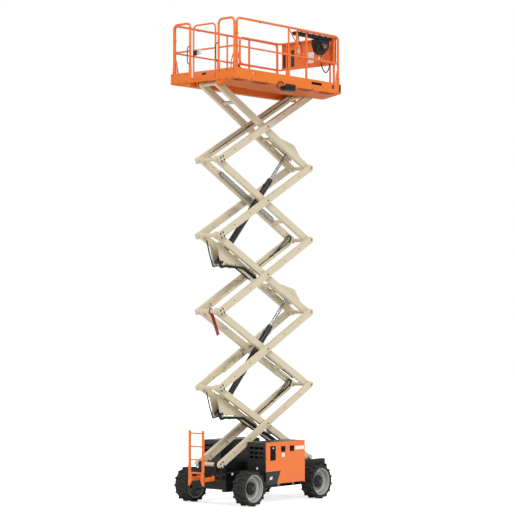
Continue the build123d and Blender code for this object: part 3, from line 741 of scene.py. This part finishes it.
# %% Hose loops and their clamps
along, up = arm_axes(OUTER)
for stage in (1, 3):
    loops = Shape(f"hose_loops_{stage}", f"outer_{stage}", *HOSE)
    for lane, radius in ((0.0, 0.009), (0.022, 0.008)):
        path = [(2.2, 0.052), (2.45, 0.06), (2.66, 0.085 + lane), (2.8, 0.13 + lane),
                (2.92, 0.15 + lane), (2.985, 0.115 + lane), (2.955, 0.07), (2.86, 0.047)]
        loops.tube(curve([on_arm(stage, OUTER, a, 0.118 + lane, b) for a, b in path]), radius)
    loops.done()
    clamps = Shape(f"hose_clamps_{stage}", f"outer_{stage}", *STEEL, edge=0.001)
    for at, lift in ((2.3, 0.036), (2.52, 0.036), (2.88, 0.03)):
        clamps.bar(on_arm(stage, OUTER, at, 0.152, lift), along, up, 0.014, 0.012, 0.046)
    clamps.done()
runs = Shape("inner_hoses_2", "inner_2", *HOSE)
for across, radius in ((0.094, 0.009), (0.072, 0.008)):
    path = [(1.58, 0.058), (1.8, 0.066), (2.05, 0.06), (2.3, 0.066), (2.55, 0.058),
            (2.78, 0.064), (2.9, 0.052)]
    runs.tube(curve([on_arm(2, INNER, a, across, b) for a, b in path], 4), radius)
runs.done()
print("hose loops placed")

# %% [markdown]
# ## Lift cylinders
# Each barrel has a collar near each end, and two port blocks that a pipe joins.

# %% Cylinder fittings
COLLAR = 0.06
PIPE = ((0.28, 0.076), (0.33, 0.086), (0.45, 0.074), (1.2, 0.073), (1.95, 0.074), (2.03, 0.076))

across = Vector((0, 1, 0))
for name, stage in (("lower", 1), ("upper", 3)):
    foot = on_arm(stage, INNER, FOOT_EYE[0], 0.0, FOOT_EYE[1])
    head = on_arm(stage + 2, INNER, HEAD_EYE[0], 0.0, HEAD_EYE[1])
    run = (head - foot).normalized()
    top = Vector((-run.z, 0, run.x))
    ports = Shape(f"cylinder_pipes_{name}", f"barrel_{name}", *DARK_PAINT)
    for at, depth in ((0.16, 0.05), (2.12, 0.075)):
        ports.disc(foot + run * at, run, COLLAR, depth, sides=36)
    for at, half, thick, side in ((0.26, 0.035, 0.034, 0.022), (2.05, 0.03, 0.026, 0.018)):
        ports.bar(foot + run * at + top * 0.052 - across * side, run, top, half, thick, -2 * side)
    ports.tube(curve([foot + run * a + top * b for a, b in PIPE], 4), 0.007)
    ports.done()
    print(name, "cylinder is", round((head - foot).length, 2), "m between its eyes")

# %% [markdown]
# ## Wheels
# The hub's cap is dark and carries the nuts. The dish around it is a darker silver, painted shade
# in the dish.

# %% Hubs and nuts
AXLE_Z = 0.33
HUB_REACH, DISH_REACH, CAP_FACE = 0.121, 0.236, 0.755


def around(x, y, reach, count, shift=0.0):
    """Points evenly spaced about an axle."""
    turns = [2 * pi * (k + shift) / count for k in range(count)]
    return [(x + reach * cos(t), y, AXLE_Z + reach * sin(t)) for t in turns]


for corner, x, side in WHEELS:
    rim = nodes[f"rim_{corner}"]
    rim.data.materials.append(chassis_black)
    # The third material is the darker silver of painted shade in the dish.
    rim.data.materials.append(dish_shade_silver)
    for face in rim.data.polygons:
        spot = rim.matrix_world @ face.center
        away = hypot(spot.x - x, spot.z - AXLE_Z)
        if away < HUB_REACH and abs(spot.y) > CAP_FACE:
            face.material_index = 1
        elif away < DISH_REACH:
            face.material_index = 2
    body, out = f"wheel_{corner}", (0, side, 0)
    nuts = Shape(f"wheel_nuts_{corner}", body, *STEEL)
    for at in around(x, side * 0.797, 0.097, 9):
        nuts.bolt(at, out, 0.012, 0.016)
    nuts.disc((x, side * 0.824, AXLE_Z), out, 0.048, 0.009, sides=28, inner=0.04)
    nuts.done()
    step = Shape(f"rim_step_{corner}", body, "silver_paint", silver)
    step.turned((x, side * 0.725, AXLE_Z), out,
                [(0.176, 0.036), (0.184, 0.05), (0.214, 0.055), (0.223, 0.043)])
    step.done(angle=25)
    rim_bolts = Shape(f"rim_bolts_{corner}", body, "silver_paint", zinc)
    for at in around(x, side * 0.776, 0.199, 12, shift=0.5):
        rim_bolts.bolt(at, out, 0.008, 0.006)
    rim_bolts.done()
print("hubs and nuts placed")

# %% [markdown]
# ## Doors and hoods
# The near door has a tall dark window, two latches and blank plates. The hoods' louvres are framed.

# %% Door fittings
DOOR_Y = -0.8
INTO_DOOR = DOOR_Y + 0.001
LATCHES = ((-0.255, -0.134), (0.008, 0.13))
LATCH_LOW, LATCH_HIGH = 0.965, 1.07

boxes("door_fittings_near", "door_near", *RECESS, 0.0015,
      ((-0.577, DOOR_Y - 0.006, 0.815), (-0.423, INTO_DOOR, 1.085)),
      *(((low, DOOR_Y - 0.005, LATCH_LOW), (high, INTO_DOOR, LATCH_HIGH))
        for low, high in LATCHES))
boxes("door_window_near", "door_near", *RECESS, 0,
      ((-0.562, DOOR_Y - 0.008, 0.83), (-0.438, DOOR_Y - 0.005, 1.07)))
handles = Shape("door_handles", "door_near", "dark_steel", deep_black, edge=0.001)
for low, high in LATCHES:
    handles.prism([(0, 0), (0.07, 0), (0.07, 0.012), (0.052, 0.018), (0.01, 0.014)],
                  (low + 0.018, DOOR_Y - 0.005, 0.985), (0, 0, 1), (0, -1, 0), high - low - 0.036)
    handles.disc(((low + high) / 2, DOOR_Y - 0.005, 1.058), (0, -1, 0), 0.007, 0.006, sides=14)
handles.done()
gauge = Shape("door_gauge", "door_near", *LABEL)
gauge.disc((-0.5, DOOR_Y - 0.008, 1.045), (0, -1, 0), 0.016, 0.003, sides=24)
gauge.done()
boxes("door_labels", "door_near", *LABEL, 0.0008,
      ((-0.232, DOOR_Y - 0.0015, 0.868), (-0.148, INTO_DOOR, 0.94)),
      ((0.165, DOOR_Y - 0.0015, 0.985), (0.44, INTO_DOOR, 1.052)))
far_latches = Shape("door_fittings_far", "door_far", *MOULDED, edge=0.0015)
for low, high in LATCHES:
    far_latches.box((low, 0.799, LATCH_LOW), (high, 0.805, LATCH_HIGH))
    far_latches.box((low + 0.02, 0.804, 0.985), (high - 0.02, 0.812, 1.04))
far_latches.done()
print("door fittings placed")

# %% Louvre frames, blank marks and chassis bolts
END_X = -0.695
LOUVRE_WIDE, LOUVRE_HIGH = 0.055, 0.025
HULL_Y, REAR_END, FRONT_END = 0.425, -1.42, 1.64

ring = [(0, a * LOUVRE_WIDE, b * LOUVRE_HIGH) for a, b in (*CORNERS, CORNERS[0])]
frames = Shape("louvre_frames", "chassis", *DARK_PAINT, edge=0.001)
for side in SIDES:
    for z in (0.876, 0.958, 1.047):
        for y in (0.442, 0.566, 0.683):
            centre = Vector((END_X, side * y, z))
            path = [centre + point + Vector((-0.003, 0, 0)) for point in rounded(ring, 0.012, 3)]
            frames.tube(path, 0.005, 6)
    low, high = sorted((side * 0.335, side * 0.345))
    frames.box((END_X - 0.004, low, 0.62), (END_X, high, 1.15))
    for x in (-0.64, -0.1, 0.41):
        frames.bolt((x, side * 0.45, 1.155), (0, 0, 1), 0.01, 0.005)
frames.done()
marks = Shape("blank_marks", "chassis", *LABEL, edge=0.0005)
marks.prism([(0, 0), (0.075, 0), (0.1, 0.055), (0.025, 0.055)], (-0.6, -0.7972, 0.455),
            *UPRIGHT, 0.0012)
for side in SIDES:
    for x, z in ((-1.237, 0.585), (0.119, 0.3), (0.568, 0.3)):
        marks.disc((x, side * 0.4255, z), (0, side, 0), 0.026, 0.0015)
marks.disc((END_X - 0.0002, -0.575, 0.665), (-1, 0, 0), 0.026, 0.0015)
marks.done()
bolts = Shape("chassis_bolts", "chassis", *STEEL)
for side in SIDES:
    for x in (-1.36, -0.8, 0.62, 1.2, 1.56):
        for z in (0.345, 0.555) if x in (-0.8, 0.62) else (0.44,):
            bolts.bolt((x, side * HULL_Y, z), (0, side, 0), 0.014, 0.008)
for y in (-0.28, -0.2, 0.2, 0.28):
    for z in (0.47, 0.56):
        bolts.bolt((REAR_END, y, z), (-1, 0, 0), 0.013, 0.008)
        bolts.bolt((FRONT_END, y, z), (1, 0, 0), 0.013, 0.008)
bolts.done()
print("hoods and chassis dressed")

# %% [markdown]
# ## Hoses under the cylinder brackets
# Four thick hoses, two above two, follow the lower edge of each bracket's near plate to the
# middle of the arms, and those of stage 1 run on. Their width and length are partly painted
# shade: they fill the dark band of shade under the inner arm pair. A fifth, at the far plate,
# also goes back to the rear pin.

# %% Bracket hoses
FEED_RADIUS = 0.0124
LANES = ((-0.13, 0.0), (-0.103, 0.0), (-0.128, 0.025), (-0.102, 0.026), (0.097, 0.0))
FRONT_RUN = ((0.36, -0.345), (0.45, -0.415), (0.55, -0.345), (0.78, -0.236), (1.0, -0.134),
             (1.12, -0.126), (1.5, -0.118))
LONGER_RUN = ((1.95, -0.1), (2.35, -0.085))
REAR_RUN = ((0.06, -0.07), (0.12, -0.13), (0.22, -0.23), (0.3, -0.3))

along, up = arm_axes(INNER)
# The hoses' width, their second row and stage 1's longer run are partly real hoses and partly
# painted shade under the inner arms.
for stage in (1, 3):
    feed_hoses_and_shade = Shape(f"bracket_hoses_and_shade_{stage}", f"inner_{stage}", *HOSE)
    for lane, drop in LANES:
        path = (REAR_RUN if lane > 0 else ()) + FRONT_RUN + (LONGER_RUN if stage == 1 else ())
        feed_hoses_and_shade.tube(curve([on_arm(stage, INNER, a, lane, b - drop) for a, b in path], 4),
                   FEED_RADIUS)
    feed_hoses_and_shade.done()
    straps = Shape(f"bracket_straps_{stage}", f"inner_{stage}", *DARK_PAINT)
    for a, b in ((0.66, -0.336), (1.0, -0.179), (1.38, -0.166)):
        straps.bar(on_arm(stage, INNER, a, -0.144, b), along, up, 0.012, 0.006, -0.056)
    straps.done()
print("bracket hoses placed")

# %% [markdown]
# ## Platform skirt and underside
# The skirt has lifting pockets along its lower edge, drawn as flat patches of painted shade,
# a name plate left blank, a small label, ribs and dark slots. A black junction box hangs under
# its near edge with a lead that curves up to the deck.

# %% Skirt pockets, ribs and bolts
SKIRT, SKIRT_OUT = 0.8145, 0.819
SKIRT_Y, REAR_X = -0.815, -1.606
POCKETS = ((-1.585, -1.228), (-1.05, -0.53), (0.317, 0.8), (0.97, 1.46))
POCKET_HIGH, POCKET_SLANT = 0.11, 0.1

# The pockets are thin flat patches of a darker orange: painted shade, not recesses in the solid.
pockets = Shape("skirt_pocket_painted_shade", "platform", "orange_paint", orange_shadow)
for side in SIDES:
    for low, high in POCKETS:
        outline = [(low, 0.0), (high, 0.0), (high - POCKET_SLANT, POCKET_HIGH),
                   (low + POCKET_SLANT * 0.4, POCKET_HIGH)]
        pockets.prism(outline, (0, side * 0.795, 7.948), (1, 0, 0), (0, -side, -0.1728),
                      side * 0.0015)
pockets.done()
ribs = Shape("skirt_plates", "platform", *ORANGE, edge=0.001)
for side in SIDES:
    low, high = sorted((side * SKIRT, side * SKIRT_OUT))
    for x in (-1.59, -0.02, 1.56):
        ribs.box((x, low, 7.985), (x + 0.036, high, 8.15))
ribs.box((REAR_X - 0.004, -0.27, 7.992), (REAR_X + 0.001, 0.235, 8.0))
for y in (-0.8, -0.365, 0.34, 0.775):
    ribs.box((REAR_X - 0.004, y, 7.96), (REAR_X + 0.001, y + 0.028, 8.15))
ribs.done()
boxes("skirt_slots", "platform", *DARK_PAINT, 0.001,
      ((1.315, SKIRT_Y - 0.003, 8.03), (1.375, SKIRT_Y + 0.001, 8.105)),
      ((1.54, SKIRT_Y - 0.005, 7.985), (1.592, SKIRT_Y - 0.003, 8.125)))
skirt_bolts = Shape("skirt_bolts", "platform", *STEEL)
for side in SIDES:
    for x in (-1.5, -1.15, -0.7, -0.25, 0.25, 0.7, 1.15, 1.5):
        skirt_bolts.bolt((x, side * 0.815, 7.972), (0, side, 0), 0.008, 0.005)
    for y in (0.42, 0.6, 0.76):
        for z in (7.972, 8.12):
            skirt_bolts.bolt((REAR_X, side * y, z), (-1, 0, 0), 0.008, 0.005)
skirt_bolts.disc((-1.02, SKIRT_Y, 8.075), (0, -1, 0), 0.012, 0.004, sides=16)
skirt_bolts.done()
boxes("name_plate", "platform", *RECESS, 0.0005,
      ((0.67, SKIRT_Y - 0.0015, 8.056), (0.985, SKIRT_Y + 0.001, 8.106)))
labels = Shape("platform_labels", "platform", *LABEL, edge=0.0005)
labels.disc((-1.1, SKIRT_Y - 0.0002, 8.085), (0, -1, 0), 0.014, 0.0015, sides=16)
labels.done()
print("skirt dressed")

# %% Junction box
junction = Shape("junction_box", "platform", *MOULDED, edge=0.003)
junction.prism([(0, 0), (0.255, 0), (0.275, 0.03), (0.275, 0.082), (-0.02, 0.082), (-0.02, 0.03)],
               (-0.125, -0.69, 7.864), *UPRIGHT, 0.145)
junction.box((-0.14, -0.838, 7.92), (0.145, -0.817, 7.985))
for k in range(5):
    x = 0.052 * k
    junction.box((-0.118 + x, -0.842, 7.88), (-0.094 + x, -0.834, 7.972))
junction.done()
lead = Shape("junction_lead", "platform", *HOSE)
lead.tube(curve([(-0.14, -0.77, 7.9), (-0.22, -0.77, 7.885), (-0.34, -0.78, 7.9),
                 (-0.38, -0.81, 7.935), (-0.35, -0.825, 7.985), (-0.27, -0.827, 8.005),
                 (-0.2, -0.825, 7.975)]), 0.0095)
lead.done()
print("junction box placed")

# %% [markdown]
# ## Guard-rail fittings
# The posts stand in sockets with two bolts through each. Short diagonal struts stiffen the end
# posts, and clips hold the removable rails.

# %% Sockets, struts and clips
DECK_TOP, RAIL_TOP, RAIL_DROP = 8.0, 9.09, 0.0045
RAIL_Y, GATE_X = 0.7807, -1.5717
TUBE, THIN_TUBE, STRUT = 0.022, 0.017, 0.012
STRUT_FOOT = 8.005

sockets = Shape("post_sockets", "platform", *ORANGE)
pins = Shape("post_pins", "platform", *STEEL)
posts = [(x, side * RAIL_Y, size) for x, size in ((-1.525, TUBE), (1.56, TUBE), (0.0, THIN_TUBE))
         for side in SIDES]
posts += [(GATE_X, y, TUBE) for y in (-0.372, 0.346, -0.7607, 0.7607)]
for x, y, radius in posts:
    sockets.disc((x, y, DECK_TOP + 0.001), (0, 0, 1), radius + 0.0065, 0.3, inner=radius + 0.001)
    out = (-1, 0, 0) if x == GATE_X else (0, NEAR if y < 0 else FAR, 0)
    for lift in (0.185, 0.255):
        at = Vector((x, y, DECK_TOP + lift)) + Vector(out) * (radius + 0.0045)
        pins.bolt(at, out, 0.008, 0.007)
for side in SIDES:
    y = side * RAIL_Y
    sockets.tube([(-1.535, y, 8.545), (-1.455, y, 8.3), (-1.405, y, STRUT_FOOT)], STRUT, 10)
    sockets.tube([(1.56, y, 8.5), (1.5, y, 8.3), (1.47, y, STRUT_FOOT)], STRUT, 10)
    sockets.tube([(GATE_X, side * 0.76, 8.47), (GATE_X, side * 0.69, 8.3),
                  (GATE_X, side * 0.655, STRUT_FOOT)], 0.011, 10)
sockets.tube([(0.02, -RAIL_Y, 9.055), (0.46, -RAIL_Y, 8.575)], STRUT, 10)
sockets.done()
pins.done()
clips = Shape("rail_clips", "platform", *ORANGE)
for side in SIDES:
    for x, z in ((-1.525, 8.8), (-1.525, 8.56), (0.0, 8.56), (0.3, RAIL_TOP - RAIL_DROP),
                 (-0.85, RAIL_TOP - RAIL_DROP)):
        clips.disc((x - 0.022, side * RAIL_Y, z), (1, 0, 0), 0.0265, 0.044, sides=16)
clips.done()
print("rail fittings placed")

# %% [markdown]
# ## Gate and grab handles
# The gate has a black latch, and a black handle stands on the post at each side of it.

# %% Gate latch and handles
latch = Shape("gate_latch", "gate", *MOULDED, edge=0.002)
latch.box((GATE_X - 0.034, 0.155, 8.455), (GATE_X - 0.018, 0.24, 8.545))
latch.tube(curve([(GATE_X - back, y, z) for back, y, z in (
    (0.03, 0.165, 8.47), (0.052, 0.12, 8.47), (0.056, 0.075, 8.5), (0.052, 0.12, 8.53),
    (0.03, 0.165, 8.53))]), 0.006)
latch.done()
boxes("gate_latch_plate", "gate", *LABEL, 0.001,
      ((GATE_X - 0.0185, 0.045, 8.465), (GATE_X - 0.0165, 0.15, 8.56)))
gate_plate = Shape("gate_plate", "gate", *DARK_PAINT, edge=0.0008)
gate_plate.prism([(0, 0), (0.115, 0), (0.13, 0.04), (0.02, 0.04)],
                 (GATE_X - 0.0065, 0.055, 8.075), (0, -1, 0), (0, 0, 1), 0.002)
gate_plate.done()
grabs = Shape("grab_handles", "platform", *HOSE)
for y in (0.346, -0.372):
    bow = [(GATE_X - back, y + shift, z) for back, shift, z in (
        (0.015, 0, 8.3), (0.06, 0.02, 8.33), (0.06, 0.02, 8.625), (0.015, 0, 8.655))]
    grabs.tube(rounded(bow, 0.035), 0.009, 10)
grabs.done()
print("gate dressed")

# %% [markdown]
# ## Extension front
# The front sheet has two tall dark slots, blank plates and a row of bolts at its top and foot.

# %% Front sheet
SHEET_X = 1.6073
SHEET_SLOTS = ((0.533, 0.664, 8.61, 8.9), (0.374, 0.455, 8.61, 8.95))
SHEET_LABELS = ((0.235, 0.34, 8.87, 9.03), (-0.13, 0.02, 8.64, 8.86),
                (-0.34, -0.24, 8.66, 8.74))

boxes("front_sheet_slots", "extension", "black_plastic", hood_black, 0.002,
      *(((face - 0.0005, low, bottom), (face + 0.0015, high, top))
        for low, high, bottom, top in SHEET_SLOTS
        for face in (SHEET_X - 0.0022, SHEET_X + 0.0038)))
boxes("front_sheet_labels", "extension", *LABEL, 0.0005,
      *(((SHEET_X - 0.0018, low, bottom), (SHEET_X - 0.0001, high, top))
        for low, high, bottom, top in SHEET_LABELS))
sheet_bolts = Shape("front_sheet_bolts", "extension", *STEEL)
for y in (-0.68, -0.4, 0.0, 0.68):
    for z in (8.6, 9.07):
        sheet_bolts.bolt((SHEET_X + 0.004, y, z), (1, 0, 0), 0.009, 0.004)
        sheet_bolts.bolt((SHEET_X, y, z), (-1, 0, 0), 0.009, 0.004)
sheet_bolts.done()
print("front sheet dressed")

# %% [markdown]
# ## Control box
# The box hangs from a ribbed tray under the near top rail. It has buttons, a guard loop,
# and a cable that hangs in a loop below it.

# %% Control box
BOX_REAR, TRAY_Z, FACE_Y = 1.04, 9.0, -0.708
RIB_START, RIB_STEP, RIB_WIDE = 0.36, 0.097, 0.048
PANEL_FACE = -0.7155


def by_box(*points):
    """Points given from the rear end of the control box, across, and up from the tray."""
    return [(BOX_REAR + x, y, TRAY_Z + z) for x, y, z in points]


control = Shape("control_trim", "extension", *MOULDED, edge=0.002)
for k in range(11):
    x = RIB_START + RIB_STEP * k
    control.box((x, FACE_Y - 0.006, TRAY_Z + 0.003),
                (x + RIB_WIDE, FACE_Y + 0.003, TRAY_Z + 0.066 + 0.01 * (k % 2)))
control.box((0.33, FACE_Y - 0.003, TRAY_Z + 0.058), (1.45, -0.6, TRAY_Z + 0.066))
control.prism([(0.03, -0.055), (0.24, -0.055), (0.3, -0.185), (0.11, -0.215)],
              (BOX_REAR + 0.02, -0.69, TRAY_Z), *UPRIGHT, 0.022)
control.done()
panel = Shape("control_panel", "extension", *STEEL, edge=0.001)
panel.prism([(0.05, -0.075), (0.2, -0.075), (0.26, -0.165), (0.13, -0.185)],
            (BOX_REAR + 0.02, -0.7125, TRAY_Z), *UPRIGHT, 0.003)
panel.done()
knobs = Shape("control_knobs", "extension", "red_paint", yellow)
for x, z in ((0.155, -0.11), (0.195, -0.135), (0.165, -0.155)):
    knobs.disc(*by_box((x, PANEL_FACE, z)), (0, -1, 0), 0.012, 0.01, sides=16)
knobs.done()
stop_button = Shape("stop_button", "extension", "red_paint", red)
stop_button.disc(*by_box((0.235, PANEL_FACE, -0.105)), (0, -1, 0), 0.018, 0.018)
stop_button.done()
guard = Shape("control_guard", "extension", *HOSE)
guard.tube(rounded(by_box((0.08, -0.7, -0.09), (0.0, -0.73, -0.11), (-0.09, -0.73, -0.235),
                          (-0.03, -0.73, -0.285), (0.12, -0.7, -0.26)), 0.04), 0.011, 10)
guard.tube(by_box((0.02, -0.668, -0.12), (-0.03, -0.675, -0.175)), 0.01, 10)
guard.tube(curve(by_box((0.17, -0.64, -0.285), (0.14, -0.645, -0.4), (0.17, -0.655, -0.55),
                        (0.27, -0.66, -0.635), (0.37, -0.66, -0.56), (0.395, -0.668, -0.45),
                        (0.38, -0.68, -0.42))), 0.011)
guard.tube(curve(by_box((-0.64, -0.7, -0.01), (-0.61, -0.69, -0.1), (-0.54, -0.69, -0.21),
                        (-0.52, -0.7, -0.34), (-0.54, -0.7, -0.42))), 0.008)
guard.done()
print("control box dressed")

# %% [markdown]
# ## Deck corner
# A small black outlet box stands in the near rear corner with its lead along the toe board.

# %% Deck corner box
LEAD_TURN = (-1.28, -0.75, 8.03)

boxes("outlet_box", "platform", *MOULDED, 0.003,
      ((-1.5, -0.742, 8.15), (-1.4, -0.7, 8.235)),
      ((-1.475, -0.735, 8.002), (-1.425, -0.705, 8.15)))
lead = Shape("outlet_lead", "platform", *HOSE)
for path in ([(-1.4, -0.72, 8.19), (-1.34, -0.73, 8.17), (-1.3, -0.745, 8.12), LEAD_TURN],
             [LEAD_TURN, (-0.9, -0.752, 8.02), (-0.3, -0.752, 8.022), (0.2, -0.752, 8.02)]):
    lead.tube(curve(path), 0.008)
lead.done()
print("deck corner dressed")

# %% [markdown]
# ## Ladder and steering
# The ladder is bolted to its brackets. A ram ahead of the front axle turns the knuckles.

# %% Ladder bolts and steering ram
LADDER_X, FIRST_RUNG, RUNG_STEP = -1.68, 0.61, 0.2455
RAM_X, RAM_HALF = 1.005, 0.24

ladder_bolts = Shape("ladder_bolts", "chassis", *STEEL)
for y, side in ((-0.115, NEAR), (0.265, FAR)):
    for z in (0.475, 0.51, 0.6):
        ladder_bolts.bolt((LADDER_X, y, z), (0, side, 0), 0.01, 0.006)
    for k in range(4):
        ladder_bolts.disc((LADDER_X, y, FIRST_RUNG + RUNG_STEP * k), (0, side, 0), 0.01, 0.003,
                          sides=14)
ladder_bolts.done()
stubs = Shape("ladder_stubs", "chassis", *ORANGE, edge=0.002)
for y in (-0.128, 0.242):
    stubs.box((-1.56, y, 0.4795), (-1.421, y + 0.024, 0.5295))
    stubs.box((-1.436, y - 0.02, 0.46), (-1.4205, y + 0.044, 0.548))
stubs.done()
ram = Shape("steering_ram", "chassis", *DARK_PAINT)
ram.tube([(RAM_X, -RAM_HALF, AXLE_Z), (RAM_X, RAM_HALF, AXLE_Z)], 0.03, 18)
for y in (-0.2, 0.2):
    ram.box((0.96, y - 0.015, 0.3), (1.0, y + 0.015, 0.36))
ram.done()
print("steering ram placed")
